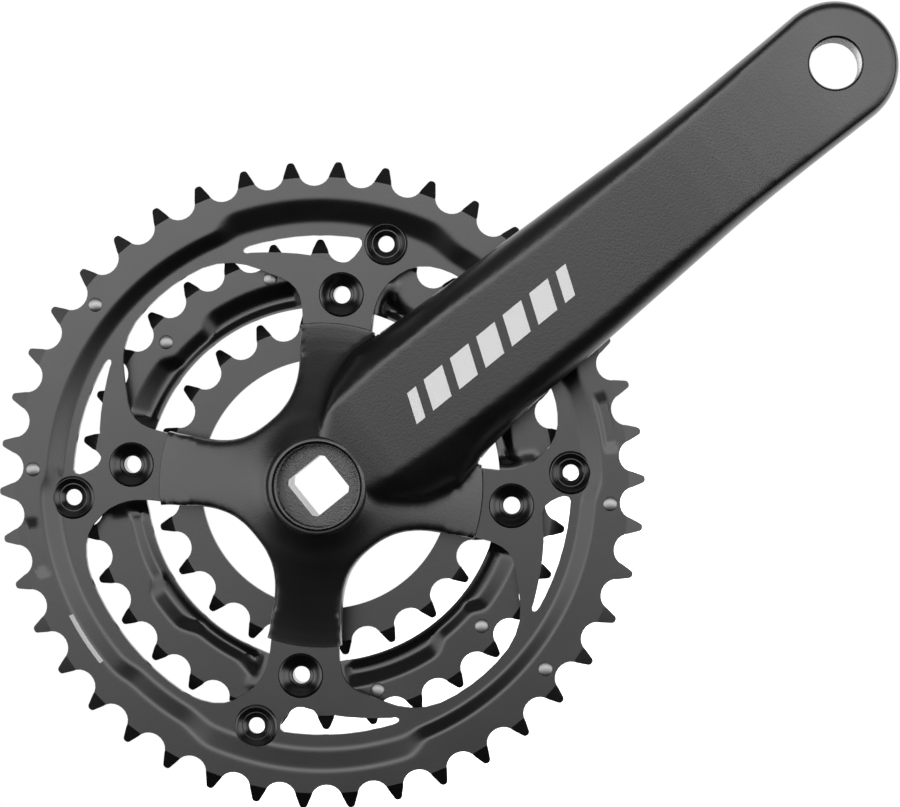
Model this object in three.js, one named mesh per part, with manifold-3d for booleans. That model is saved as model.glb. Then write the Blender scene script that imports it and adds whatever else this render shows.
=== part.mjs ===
// Drive side of a bicycle crankset: forged crank arm with a four-arm spider, and three stamped chainrings
// held to it by rivets. Millimetres. The spindle axis is Y, with the frame side at +Y. X runs along the
// crank arm to the pedal, and the origin is on the spindle axis at the hub's inner face.
import * as THREE from 'three';
import { mergeVertices } from 'three/addons/utils/BufferGeometryUtils.js';
import Module from 'manifold-3d';

const wasm = await Module();
wasm.setup();

// Driving dimensions
const CHAIN_PITCH = 12.7;
const POCKET_DEPTH = 3.85;
const POCKET_HALF_WIDTH = 4.3;
const RING_THICKNESS = 2;
const RING_SPACING = 8;
const GAP = 0.3;

// Planes across the spindle axis (Y of each face)
const OUTER_TEETH_FRONT = -19;
const OUTER_MOUNT_FRONT = OUTER_TEETH_FRONT + 1.75;
const TAB_FRONT = OUTER_MOUNT_FRONT + RING_THICKNESS;
const MIDDLE_TEETH_FRONT = OUTER_TEETH_FRONT + RING_SPACING;
const MIDDLE_MOUNT_FRONT = MIDDLE_TEETH_FRONT - 1;
const TAB_BACK = MIDDLE_MOUNT_FRONT;
const INNER_FRONT = MIDDLE_TEETH_FRONT + RING_SPACING;
const SPIDER_FRONT = OUTER_MOUNT_FRONT - 1.25;
const HUB_FRONT = -30.5;
const THREAD_FLOOR = -24.5;
const FAR_FRONT = -60;

// Radii and angles of what repeats
const BOLT_RADIUS = 52;
const EYELET_RADIUS = 67.8;
const INNER_BOLT_RADIUS = 32;
const REGISTER_RADIUS = 44.1;
const SPIDER_ANGLES = [45, 135, 225, 315];
const EYELET_ANGLES = [36, 144, 216, 324];
const OUTER_PIN_RADIUS = 78.5;
const OUTER_PIN_ANGLES = [102.5, 138, 282, 317.5];
const MIDDLE_PIN_RADIUS = 58.1;
const MIDDLE_PIN_ANGLES = [65.5, 99, 246, 279.5];

// Chainrings: tooth count, radius at the tooth tips, angle of the first tooth and half a tip's width
const OUTER_RING = { teeth: 42, tip: 87.6, phase: 5.1, tipHalf: 1 };
const MIDDLE_RING = { teeth: 32, tip: 66.95, phase: 6.8, tipHalf: 1 };
const INNER_RING = { teeth: 22, tip: 47.4, phase: 8.7, tipHalf: 1 };
const WINDOW_RADIUS = 67.7;
const MIDDLE_BORE = 48.5;
const INNER_BORE = 34.5;
const EAR_RADIUS = 7;

// Holes, seats and posts
const RIVET_HOLE_RADIUS = 4.2;
const RIVET_SEAT_RADIUS = 6.2;
const BOSS_RADIUS = 5.8;
const BOSS_RISE = 0.6;
const DISH_RADIUS = 5.4;
const DISH_HOLE_RADIUS = 3.9;
const PIN_HOLE_RADIUS = 1.6;
const PIN_RELIEF_RADIUS = 2.4;
const POST_RADIUS = 5.2;
const POST_HOLE_RADIUS = 3;
const TAB_HALF_WIDTH = 9.2;

// Crank arm
const CRANK_LENGTH = 175;
const EYE_RADIUS = 16.5;
const EYE_FRONT = -51;
const EYE_FACE_START = 157;
const FACE_ROOT = { x: 15, y: -31.8 };
const EYE_BACK = -37.5;
const PEDAL_HOLE_RADIUS = 6.9;
const THREAD_RADIUS = 11.3;
const TAPER_SMALL_HALF = 6.35;
const TAPER_LARGE_HALF = 7.05;

const black = { color: 0x2b2b2e, roughness: 0.5, metalness: 0.3 };
const steel = { color: 0xb9bbbd, roughness: 0.35, metalness: 0.9 };

const crankset = new THREE.Group();

function polar(radius, degrees) {
  const angle = THREE.MathUtils.degToRad(degrees);
  return new THREE.Vector2(radius * Math.cos(angle), radius * Math.sin(angle));
}

function arc(radius, from, to, steps) {
  const points = [];
  for (let i = 0; i <= steps; i += 1) {
    points.push(polar(radius, from + ((to - from) * i) / steps));
  }
  return points;
}

function circle(centre, radius, steps) {
  return arc(radius, 0, 360 - 360 / steps, steps - 1).map((point) => point.add(centre));
}

// A closed three.js geometry becomes a solid that can be joined and cut.
function solid(geometry) {
  geometry.deleteAttribute('normal');
  geometry.deleteAttribute('uv');
  const merged = mergeVertices(geometry, 1e-4);
  const triangles = [];
  const index = merged.index.array;
  for (let i = 0; i < index.length; i += 3) {
    const [a, b, c] = [index[i], index[i + 1], index[i + 2]];
    if (a !== b && b !== c && c !== a) {
      triangles.push(a, b, c);
    }
  }
  const vertProperties = new Float32Array(merged.attributes.position.array);
  const triVerts = new Uint32Array(triangles);
  return new wasm.Manifold(new wasm.Mesh({ numProp: 3, vertProperties, triVerts }));
}

// A flat plate: an outline in X and Z, from its front face at y to its back face.
function plate(outline, y, thickness, holes = []) {
  const shape = new THREE.Shape(outline);
  shape.holes = holes.map((hole) => new THREE.Path(hole));
  const geometry = new THREE.ExtrudeGeometry(shape, { depth: thickness, bevelEnabled: false });
  geometry.rotateX(Math.PI / 2);
  geometry.translate(0, y + thickness, 0);
  return solid(geometry);
}

// A turned solid about the Y axis, moved to a centre in X and Z. The profile is [radius, y] pairs.
function turned(profile, centre = new THREE.Vector2(), segments = 16) {
  const points = profile.map(([radius, y]) => new THREE.Vector2(radius, y));
  if (THREE.ShapeUtils.isClockWise(points)) {
    points.reverse();
  }
  points.push(points[0].clone());
  const geometry = new THREE.LatheGeometry(points, segments);
  geometry.translate(centre.x, 0, centre.y);
  return solid(geometry);
}

function disc(radius, from, to, centre = new THREE.Vector2(), segments = 16) {
  return plate(circle(centre, radius, segments), from, to - from);
}

function add(name, body, finish) {
  const mesh = body.getMesh();
  const geometry = new THREE.BufferGeometry();
  geometry.setAttribute('position', new THREE.BufferAttribute(mesh.vertProperties, 3));
  geometry.setIndex(new THREE.BufferAttribute(mesh.triVerts, 1));
  const node = new THREE.Mesh(geometry, new THREE.MeshStandardMaterial(finish));
  node.name = name;
  crankset.add(node);
}

// Chainring teeth: roller pockets on the pitch circle, a little wider than deep, with narrow tips between.
function toothOutline({ teeth, tip, phase, tipHalf }) {
  const step = 360 / teeth;
  const pitchRadius = CHAIN_PITCH / 2 / Math.sin(Math.PI / teeth);
  const points = [];
  for (let tooth = 0; tooth < teeth; tooth += 1) {
    const tipAngle = phase + tooth * step;
    const halfTipAngle = THREE.MathUtils.radToDeg(tipHalf / tip);
    points.push(polar(tip, tipAngle - halfTipAngle));
    points.push(polar(tip, tipAngle + halfTipAngle));
    const pocketAngle = THREE.MathUtils.degToRad(tipAngle + step / 2);
    for (const turn of [-78, -26, 26, 78]) {
      const side = polar(1, turn);
      const point = new THREE.Vector2(pitchRadius - POCKET_DEPTH * side.x, POCKET_HALF_WIDTH * side.y);
      points.push(point.rotateAround(new THREE.Vector2(), pocketAngle));
    }
  }
  return points;
}

// The inner edge of one lobe of the outer ring, from the arm side to the far side, as [angle, radius].
const LOBE_ARM_SIDE = [[17, 67.7], [22, 67.1], [27, 65], [31, 60.9], [33.5, 55.5], [34.2, 51.4], [34, 47]];
const LOBE_FAR_SIDE = [[57, 48.2], [57.5, 51.4], [60, 55.5], [64, 58.2], [68, 61.7], [73, 65], [80, 67.2]];

// A contour given over one quadrant is carried round the full turn by its two mirror planes.
function fourQuadrants(quadrant) {
  const points = [];
  const reversed = [...quadrant].reverse();
  for (const start of [0, 180]) {
    for (const [angle, radius] of quadrant) {
      points.push(polar(radius, start + angle));
    }
    for (const [angle, radius] of reversed) {
      points.push(polar(radius, start + 180 - angle));
    }
  }
  return points;
}

function outerRingWindow() {
  const rim = [4, 10].map((angle) => [angle, WINDOW_RADIUS]);
  const register = [33.5, 39.5, 45.5, 51.5, 57.5].map((angle) => [angle, REGISTER_RADIUS]);
  const top = [[87, WINDOW_RADIUS]];
  return fourQuadrants([...rim, ...LOBE_ARM_SIDE, ...register, ...LOBE_FAR_SIDE, ...top]);
}

// The slot beside each eyelet, drawn for the first quadrant as [angle, radius].
function slotOutline(quarter) {
  const inner = [[41.5, 65.8], [43, 62.4], [45.5, 60.4], [49, 61], [53, 62.3], [61, 64.2], [68, 65.9]];
  const outer = [[69.4, 66.8], [68, 67.7], [59, 67.7], [50, 67.7], [43, 67.7]];
  return [...inner, ...outer].map(([angle, radius]) => {
    const mirrored = quarter % 2 === 1;
    const turnedAngle = mirrored ? 180 - angle : angle;
    return polar(radius, turnedAngle + (quarter > 1 ? 180 : 0));
  });
}

function outerChainring() {
  const front = OUTER_TEETH_FRONT;
  const teethPlate = plate(toothOutline(OUTER_RING), front, RING_THICKNESS, [arc(75, 0, 352.5, 47)]);
  const mountPlate = plate(arc(71.2, 0, 352.5, 47), OUTER_MOUNT_FRONT, RING_THICKNESS, [outerRingWindow()]);
  const wall = [
    [70.6, OUTER_MOUNT_FRONT],
    [70.6, TAB_FRONT],
    [71.8, TAB_FRONT],
    [75.7, front + RING_THICKNESS],
    [75.7, front],
    [74.3, front],
  ];
  let ring = teethPlate.add(mountPlate).add(turned(wall, undefined, 48));
  for (const angle of EYELET_ANGLES) {
    const centre = polar(EYELET_RADIUS, angle);
    ring = ring.add(disc(BOSS_RADIUS, OUTER_MOUNT_FRONT - BOSS_RISE, TAB_FRONT, centre));
  }
  for (let quarter = 0; quarter < 4; quarter += 1) {
    ring = ring.subtract(plate(slotOutline(quarter), front - 1, 6));
  }
  for (const angle of EYELET_ANGLES) {
    const dish = [
      [0, front],
      [DISH_RADIUS, front],
      [DISH_RADIUS, OUTER_MOUNT_FRONT],
      [DISH_HOLE_RADIUS, TAB_FRONT - 0.6],
      [DISH_HOLE_RADIUS, TAB_FRONT + 1],
      [0, TAB_FRONT + 1],
    ];
    ring = ring.subtract(turned(dish, polar(EYELET_RADIUS, angle)));
  }
  for (const angle of SPIDER_ANGLES) {
    const funnel = [
      [0, front],
      [RIVET_SEAT_RADIUS, front],
      [RIVET_SEAT_RADIUS, OUTER_MOUNT_FRONT + 0.5],
      [RIVET_HOLE_RADIUS, TAB_FRONT - 0.3],
      [RIVET_HOLE_RADIUS, TAB_FRONT + 1],
      [0, TAB_FRONT + 1],
    ];
    ring = ring.subtract(turned(funnel, polar(BOLT_RADIUS, angle)));
  }
  for (const angle of OUTER_PIN_ANGLES) {
    ring = ring.subtract(disc(PIN_HOLE_RADIUS, front - 1, front + 3, polar(OUTER_PIN_RADIUS, angle), 8));
  }
  return ring;
}

function middleChainring() {
  const front = MIDDLE_TEETH_FRONT;
  const teethPlate = plate(toothOutline(MIDDLE_RING), front, RING_THICKNESS, [arc(57, 0, 352.5, 47)]);
  const bore = arc(MIDDLE_BORE, 0, 352.5, 47);
  const mountPlate = plate(arc(57.8, 0, 352.5, 47), MIDDLE_MOUNT_FRONT, RING_THICKNESS, [bore]);
  let ring = teethPlate.add(mountPlate);
  for (const angle of SPIDER_ANGLES) {
    const centre = polar(BOLT_RADIUS, angle);
    ring = ring.subtract(disc(RIVET_HOLE_RADIUS, MIDDLE_MOUNT_FRONT - 1, front + 3, centre));
  }
  for (const angle of MIDDLE_PIN_ANGLES) {
    const centre = polar(MIDDLE_PIN_RADIUS, angle);
    ring = ring.subtract(disc(PIN_RELIEF_RADIUS, MIDDLE_MOUNT_FRONT - 1, front, centre, 16));
    ring = ring.subtract(disc(PIN_HOLE_RADIUS, front - 2, front + 3, centre, 8));
  }
  return ring;
}

function innerChainring() {
  let ring = plate(toothOutline(INNER_RING), INNER_FRONT, RING_THICKNESS, [arc(INNER_BORE, 0, 352.5, 47)]);
  for (const angle of SPIDER_ANGLES) {
    const centre = polar(INNER_BOLT_RADIUS, angle);
    ring = ring.add(disc(EAR_RADIUS, INNER_FRONT, INNER_FRONT + RING_THICKNESS, centre));
  }
  for (const angle of SPIDER_ANGLES) {
    const centre = polar(INNER_BOLT_RADIUS, angle);
    ring = ring.subtract(disc(POST_HOLE_RADIUS, INNER_FRONT - 1, INNER_FRONT + 4, centre));
  }
  return ring;
}

// The spider's outline inside the register: deep round windows between its four arms.
function spiderOutline() {
  const register = [33.5, 39.5, 45, 50.5, 56.5].map((angle) => [angle, REGISTER_RADIUS - GAP]);
  const side = [[58.5, 41.7], [60, 36.3], [61.5, 32.3], [65, 28], [70, 25], [76, 23], [83, 22]];
  const armSide = [...side].reverse().map(([angle, radius]) => [90 - angle, radius]);
  return fourQuadrants([...armSide, ...register, ...side]);
}

function tabOutline(angle) {
  const centre = polar(BOLT_RADIUS - 3, 0);
  const inside = 38;
  const end = arc(TAB_HALF_WIDTH, -90, 90, 12).map((point) => point.add(centre));
  const outline = [
    new THREE.Vector2(inside, -TAB_HALF_WIDTH),
    ...end,
    new THREE.Vector2(inside, TAB_HALF_WIDTH),
  ];
  return outline.map((point) => point.rotateAround(new THREE.Vector2(), THREE.MathUtils.degToRad(angle)));
}

function spider() {
  const crown = [
    [0, HUB_FRONT + 3],
    [16, HUB_FRONT + 3],
    [20, SPIDER_FRONT - 7.4],
    [30, SPIDER_FRONT - 4],
    [37, SPIDER_FRONT - 1.8],
    [44.1, SPIDER_FRONT],
    [50, SPIDER_FRONT],
    [50, TAB_BACK],
    [0, TAB_BACK],
  ];
  const outline = plate(spiderOutline(), HUB_FRONT, TAB_BACK - HUB_FRONT);
  let body = outline.intersect(turned(crown, undefined, 36));
  for (const angle of SPIDER_ANGLES) {
    body = body.add(plate(tabOutline(angle), TAB_FRONT, TAB_BACK - TAB_FRONT));
    body = body.add(disc(POST_RADIUS, TAB_BACK - 1, INNER_FRONT, polar(INNER_BOLT_RADIUS, angle), 20));
  }
  return body;
}

function hub() {
  const profile = [
    [5, HUB_FRONT],
    [12.9, HUB_FRONT],
    [14.8, HUB_FRONT + 1.1],
    [16.4, HUB_FRONT + 3.6],
    [19, SPIDER_FRONT - 5.4],
    [21, SPIDER_FRONT - 3],
    [21, TAB_BACK],
    [19, -6],
    [18, 0],
    [5, 0],
  ];
  return turned(profile, undefined, 36);
}

// Seen from the front: the arm is wide at its root, slims to the eye and ends round.
function armPlan() {
  const eye = arc(EYE_RADIUS, -84, 84, 16).map((point) => point.add(new THREE.Vector2(CRANK_LENGTH, 0)));
  const upper = [[140, 17.2], [100, 18.4], [72, 20], [50, 21], [38, 21.5], [27, 24], [14, 15]];
  const lower = [[8, -16], [27, -24], [38, -21], [50, -20.5], [72, -18.8], [100, -17.8], [140, -16.6]];
  const toPoint = ([x, z]) => new THREE.Vector2(x, z);
  return [...eye, ...upper.map(toPoint), ...lower.map(toPoint)];
}

// Seen from above: the arm leaves the hub and leans outward to a flat eye.
function armSide() {
  const points = [
    [9, TAB_BACK - 1],
    [42, TAB_BACK - 1],
    [47, -15.5],
    [58, -25],
    [90, -28.5],
    [EYE_FACE_START, EYE_BACK],
    [200, EYE_BACK],
    [200, EYE_FRONT],
    [EYE_FACE_START, EYE_FRONT],
    [FACE_ROOT.x, FACE_ROOT.y],
    [12, -30],
    [9, -28],
  ];
  const shape = new THREE.Shape(points.map(([x, y]) => new THREE.Vector2(x, y)));
  const geometry = new THREE.ExtrudeGeometry(shape, { depth: 60, bevelEnabled: false });
  geometry.translate(0, 0, -30);
  return solid(geometry);
}

// The arm's section: a flat front face with sloping shoulders down to the parting line.
function armSection() {
  const points = [
    [-12.6, 0],
    [-16.4, 3.2],
    [-18.2, 7],
    [-20, 12],
    [-26, 24],
    [-26, 40],
    [26, 40],
    [26, 24],
    [21, 12],
    [19, 6],
    [17.6, 2.8],
    [14.6, 0],
  ];
  const shape = new THREE.Shape(points.map(([z, y]) => new THREE.Vector2(-z, y)));
  const geometry = new THREE.ExtrudeGeometry(shape, { depth: 220, bevelEnabled: false });
  geometry.rotateY(Math.PI / 2);
  const rise = (FACE_ROOT.y - EYE_FRONT) / (EYE_FACE_START - FACE_ROOT.x);
  geometry.rotateZ(-Math.atan(rise));
  geometry.translate(0, FACE_ROOT.y + FACE_ROOT.x * rise, 0);
  return solid(geometry);
}

// Square taper, wider at the hub's inner face, with its corners cut back by a cone.
function spindleHole() {
  const length = -THREAD_FLOOR + 2;
  const square = new THREE.CylinderGeometry(
    TAPER_LARGE_HALF * Math.SQRT2,
    TAPER_SMALL_HALF * Math.SQRT2,
    length,
    4,
  );
  square.rotateY(Math.PI / 4);
  square.translate(0, THREAD_FLOOR + length / 2 - 1, 0);
  const round = [
    [0, THREAD_FLOOR - 2],
    [8.1, THREAD_FLOOR - 2],
    [8.9, 2],
    [0, 2],
  ];
  return solid(square).intersect(turned(round, undefined, 32));
}

function crankArm() {
  const arm = plate(armPlan(), FAR_FRONT, -FAR_FRONT).intersect(armSide()).intersect(armSection());
  let body = spider().add(hub()).add(arm);
  body = body.subtract(disc(THREAD_RADIUS, HUB_FRONT - 15, THREAD_FLOOR, undefined, 40));
  body = body.subtract(spindleHole());
  const eyeCentre = new THREE.Vector2(CRANK_LENGTH, 0);
  body = body.subtract(disc(PEDAL_HOLE_RADIUS, EYE_FRONT - 5, EYE_BACK + 5, eyeCentre, 32));
  for (const angle of SPIDER_ANGLES) {
    const rivetCentre = polar(BOLT_RADIUS, angle);
    const postCentre = polar(INNER_BOLT_RADIUS, angle);
    body = body.subtract(disc(RIVET_HOLE_RADIUS, TAB_FRONT - 5, TAB_BACK + 1, rivetCentre));
    body = body.subtract(disc(POST_HOLE_RADIUS, INNER_FRONT - 6, INNER_FRONT + 1, postCentre));
  }
  return body;
}

// Hollow rivet: a funnel in the outer ring, a shank through the spider tab, a rim behind the middle ring.
function ringRivet(angle) {
  const back = MIDDLE_MOUNT_FRONT + RING_THICKNESS;
  const profile = [
    [2.4, back + 1],
    [2.4, OUTER_MOUNT_FRONT + 1.6],
    [3.65, OUTER_MOUNT_FRONT + 1.2],
    [5.5, OUTER_MOUNT_FRONT - 0.4],
    [5.9, OUTER_MOUNT_FRONT - 0.4],
    [5.9, OUTER_MOUNT_FRONT + 0.3],
    [3.9, TAB_FRONT - 0.3],
    [3.9, back + 0.02],
    [4.8, back + 0.02],
    [4.6, back + 1],
  ];
  return turned(profile, polar(BOLT_RADIUS, angle));
}

// Threaded eyelet for a chain guard: a collar in the ring's dish and a flange behind it.
function guardEyelet(angle) {
  const profile = [
    [2.2, TAB_FRONT + 1.2],
    [2.2, OUTER_MOUNT_FRONT - 0.2],
    [3.4, OUTER_MOUNT_FRONT - 0.2],
    [3.6, OUTER_MOUNT_FRONT + 0.4],
    [3.6, TAB_FRONT + 0.02],
    [5.2, TAB_FRONT + 0.02],
    [5.2, TAB_FRONT + 1.2],
  ];
  return turned(profile, polar(EYELET_RADIUS, angle));
}

// Shift pin: a domed rivet end on the front and a chain-catching head on the frame side.
function shiftPin(radius, angle, front) {
  const back = front + RING_THICKNESS + 0.02;
  const profile = [
    [0, front - 0.9],
    [1.1, front - 0.7],
    [1.85, front - 0.02],
    [1.3, front - 0.02],
    [1.3, back],
    [2.6, back],
    [2, back + 2.6],
    [0, back + 2.6],
  ];
  return turned(profile, polar(radius, angle), 10);
}

function innerRingRivet(angle) {
  const back = INNER_FRONT + RING_THICKNESS + 0.02;
  const profile = [
    [0, INNER_FRONT - 5.6],
    [2.7, INNER_FRONT - 5.6],
    [2.7, back],
    [4.6, back],
    [4.2, back + 1.4],
    [2.6, back + 2],
    [0, back + 2],
  ];
  return turned(profile, polar(INNER_BOLT_RADIUS, angle), 12);
}

add('crank_arm', crankArm(), black);
add('outer_chainring', outerChainring(), black);
add('middle_chainring', middleChainring(), black);
add('inner_chainring', innerChainring(), black);

for (let i = 0; i < 4; i += 1) {
  const number = i + 1;
  add(`ring_rivet_${number}`, ringRivet(SPIDER_ANGLES[i]), black);
  add(`guard_eyelet_${number}`, guardEyelet(EYELET_ANGLES[i]), black);
  const outerPin = shiftPin(OUTER_PIN_RADIUS, OUTER_PIN_ANGLES[i], OUTER_TEETH_FRONT);
  const middlePin = shiftPin(MIDDLE_PIN_RADIUS, MIDDLE_PIN_ANGLES[i], MIDDLE_TEETH_FRONT);
  add(`outer_shift_pin_${number}`, outerPin, steel);
  add(`middle_shift_pin_${number}`, middlePin, steel);
  add(`inner_ring_rivet_${number}`, innerRingRivet(SPIDER_ANGLES[i]), black);
}

export default crankset;
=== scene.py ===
# %% [markdown]
# # A bicycle crankset
#
# The drive side of a bicycle crankset is a forged crank arm with a four-arm spider, and three chainrings
# stamped from steel sheet and riveted to it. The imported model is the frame: it gives every size, and each
# piece made here stands for one of its nodes. The spindle axis is Y, with the outside of the bicycle at -Y,
# and X runs along the arm to the pedal.

# %% The frame
import math

import bmesh
import bpy
from mathutils import Matrix, Vector


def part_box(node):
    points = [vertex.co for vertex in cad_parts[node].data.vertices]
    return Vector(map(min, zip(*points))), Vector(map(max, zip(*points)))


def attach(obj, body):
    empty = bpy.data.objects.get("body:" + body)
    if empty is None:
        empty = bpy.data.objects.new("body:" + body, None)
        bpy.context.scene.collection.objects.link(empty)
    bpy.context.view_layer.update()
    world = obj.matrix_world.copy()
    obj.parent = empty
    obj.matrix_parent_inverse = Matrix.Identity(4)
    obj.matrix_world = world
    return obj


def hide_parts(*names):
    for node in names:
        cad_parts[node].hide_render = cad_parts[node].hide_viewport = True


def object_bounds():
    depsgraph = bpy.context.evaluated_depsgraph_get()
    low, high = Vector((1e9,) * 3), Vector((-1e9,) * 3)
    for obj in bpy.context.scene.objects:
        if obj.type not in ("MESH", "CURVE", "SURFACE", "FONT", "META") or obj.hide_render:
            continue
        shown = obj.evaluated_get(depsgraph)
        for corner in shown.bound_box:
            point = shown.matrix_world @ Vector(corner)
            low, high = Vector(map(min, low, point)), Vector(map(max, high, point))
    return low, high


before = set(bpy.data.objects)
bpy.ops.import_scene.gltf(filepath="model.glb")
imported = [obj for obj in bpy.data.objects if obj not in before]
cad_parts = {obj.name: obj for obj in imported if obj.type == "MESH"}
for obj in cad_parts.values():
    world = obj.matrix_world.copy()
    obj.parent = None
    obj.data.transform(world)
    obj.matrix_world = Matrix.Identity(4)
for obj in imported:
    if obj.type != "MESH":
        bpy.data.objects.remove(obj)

CAD_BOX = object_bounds()
MM = 0.001
SPIDER_ANGLES = (45, 135, 225, 315)
print("frame box", [tuple(round(value, 4) for value in corner) for corner in CAD_BOX])


# %% [markdown]
# The planes of the three rings come from the frame's nodes, in millimetres here because a maker thinks of
# a chainring in millimetres. Each ring is a 2 mm sheet. Its teeth lie in one plane, and the middle of the
# ring, where the rivets go, is stamped a little out of it.

# %% Sizes from the frame
def low_mm(node, axis):
    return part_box(node)[0][axis] / MM


def high_mm(node, axis):
    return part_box(node)[1][axis] / MM


def reach_mm(node):
    """How far a ring reaches from the spindle axis."""
    return max(math.hypot(vert.co.x, vert.co.z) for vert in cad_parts[node].data.vertices) / MM


SHEET = 2.0
OUTER_TIP = reach_mm("outer_chainring")
MIDDLE_TIP = reach_mm("middle_chainring")
INNER_TIP = reach_mm("inner_chainring")
OUTER_FRONT = low_mm("inner_chainring", 1) - 16
MIDDLE_FRONT = OUTER_FRONT + 8
INNER_FRONT = OUTER_FRONT + 16
OUTER_MOUNT = OUTER_FRONT + 1.75
MIDDLE_MOUNT = MIDDLE_FRONT - 1.0
TAB_FRONT = OUTER_MOUNT + SHEET
EYE_FRONT = low_mm("crank_arm", 1)
EYE_RADIUS = 16.5
CRANK_LENGTH = high_mm("crank_arm", 0) - EYE_RADIUS
EYE_BACK = EYE_FRONT + 13.5
HUB_FRONT = EYE_FRONT + 20.5
THREAD_FLOOR = HUB_FRONT + 6
print("tips", OUTER_TIP, MIDDLE_TIP, INNER_TIP, "fronts", OUTER_FRONT, MIDDLE_FRONT, INNER_FRONT)
print("crank length", round(CRANK_LENGTH, 1), "hub front", HUB_FRONT)


# %% [markdown]
# Three ways of making a solid cover nearly every piece. A flat outline with round or straight stretches
# becomes a plate through a filled curve, because a curve's fill understands holes. A profile spun about
# the spindle axis makes anything turned. A boolean joins or cuts two of them, as a mill or a punch would.

# %% Outlines, plates and turned solids
def polar(radius, degrees):
    angle = math.radians(degrees)
    return radius * math.cos(angle), radius * math.sin(angle)


def circle(centre, radius, steps=64):
    points = [polar(radius, 360 * step / steps) for step in range(steps)]
    return [(centre[0] + x, centre[1] + z) for x, z in points]


def new_object(name, mesh):
    piece = bpy.data.objects.new(name, mesh)
    bpy.context.scene.collection.objects.link(piece)
    return piece


def plate(name, outlines, front, back):
    """A plate in the X-Z plane from Y front to Y back. The first outline is its edge, the others its holes."""
    curve = bpy.data.curves.new(name, "CURVE")
    curve.dimensions = "2D"
    curve.fill_mode = "BOTH"
    curve.extrude = (back - front) / 2 * MM
    for outline in outlines:
        spline = curve.splines.new("POLY")
        spline.points.add(len(outline) - 1)
        for point, (x, z) in zip(spline.points, outline):
            point.co = (x * MM, z * MM, 0, 1)
        spline.use_cyclic_u = True
    source = bpy.data.objects.new(name, curve)
    mesh = bpy.data.meshes.new_from_object(source)
    bpy.data.objects.remove(source)
    bpy.data.curves.remove(curve)
    middle = (front + back) / 2 * MM
    mesh.transform(Matrix.Translation((0, middle, 0)) @ Matrix.Rotation(math.pi / 2, 4, "X"))
    bm = bmesh.new()
    bm.from_mesh(mesh)
    bmesh.ops.remove_doubles(bm, verts=bm.verts, dist=1e-7)
    bmesh.ops.recalc_face_normals(bm, faces=bm.faces)
    bm.to_mesh(mesh)
    bm.free()
    return new_object(name, mesh)


def turned(name, profile, centre=(0, 0), steps=64, on_axis=False):
    """A profile of (radius, y) pairs spun about the spindle direction through a centre in X and Z."""
    bm = bmesh.new()
    verts = [bm.verts.new((radius * MM, y * MM, 0)) for radius, y in profile]
    edges = [bm.edges.new(pair) for pair in zip(verts, verts[1:])]
    if not on_axis:
        edges.append(bm.edges.new((verts[-1], verts[0])))
    bmesh.ops.spin(
        bm, geom=verts + edges, axis=(0, 1, 0), cent=(0, 0, 0), angle=2 * math.pi, steps=steps, use_merge=True
    )
    bmesh.ops.remove_doubles(bm, verts=bm.verts, dist=1e-7)
    bmesh.ops.recalc_face_normals(bm, faces=bm.faces)
    bmesh.ops.translate(bm, verts=bm.verts, vec=(centre[0] * MM, 0, centre[1] * MM))
    mesh = bpy.data.meshes.new(name)
    bm.to_mesh(mesh)
    bm.free()
    return new_object(name, mesh)


def boolean(piece, tool, operation):
    """Joins, cuts or intersects a piece with a tool, and throws the tool away."""
    modifier = piece.modifiers.new("boolean", "BOOLEAN")
    modifier.operation = operation
    modifier.solver = "MANIFOLD"
    modifier.object = tool
    apply_modifiers(piece)
    bpy.data.objects.remove(tool)
    return piece


def apply_modifiers(piece):
    bpy.context.view_layer.update()
    result = piece.evaluated_get(bpy.context.evaluated_depsgraph_get())
    mesh = bpy.data.meshes.new_from_object(result)
    piece.modifiers.clear()
    piece.data = mesh


def smooth_shade(piece, degrees=28):
    piece.data.shade_smooth()
    piece.data.set_sharp_from_angle(angle=math.radians(degrees))


print("helpers ready")


# %% [markdown]
# A chainring tooth is what is left between two roller pockets. A pocket is centred on the pitch circle,
# where 12.7 mm chords close on themselves, and it is a little wider than it is deep, so that a roller can
# leave it. The flanks run on straight and lean in to a narrow rounded tip.

# %% Tooth outline
CHAIN_PITCH = 12.7
POCKET_DEPTH = 3.85
POCKET_HALF_WIDTH = 4.3
TIP_OUTLINE = ((-1.0, 0.55), (-0.62, 0.12), (0, 0), (0.62, 0.12), (1.0, 0.55))
TIP_SPARE = 0.15
OUTER_TEETH, OUTER_PHASE = 42, 5.1
MIDDLE_TEETH, MIDDLE_PHASE = 32, 6.8
INNER_TEETH, INNER_PHASE = 22, 8.7


def tooth_outline(teeth, tip, phase):
    """The edge of a toothed ring, with the first tooth at the phase angle."""
    step = 360 / teeth
    pitch_radius = CHAIN_PITCH / 2 / math.sin(math.pi / teeth)
    points = []
    for tooth in range(teeth):
        tip_angle = phase + tooth * step
        points += [polar(tip - drop, tip_angle + math.degrees(across / tip)) for across, drop in TIP_OUTLINE]
        pocket_angle = math.radians(tip_angle + step / 2)
        for turn in range(-80, 81, 16):
            depth, across = polar(1, turn)
            outward = pitch_radius - POCKET_DEPTH * depth
            sideways = POCKET_HALF_WIDTH * across
            points.append((outward * math.cos(pocket_angle) - sideways * math.sin(pocket_angle),
                           outward * math.sin(pocket_angle) + sideways * math.cos(pocket_angle)))
    return points


print("outer ring outline", len(tooth_outline(OUTER_TEETH, OUTER_TIP, OUTER_PHASE)), "points")


# %% [markdown]
# A ring starts as a closed section of the sheet, spun round the spindle axis into a dense flat ring. The
# press is a function of radius and angle that says how far the sheet is pushed along Y there, so front and
# back move together and the sheet keeps its thickness, as in a real press tool. The section thins towards
# the tooth tips, because the real teeth are chamfered for the chain. The punch comes last and cuts the
# teeth, the windows and the holes through the pressed sheet.

# %% Pressed sheet
FRONT_CHAMFER = 0.34
BACK_CHAMFER = 0.03
BLANK_SPARE = 0.6
AHEAD = -30


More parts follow.
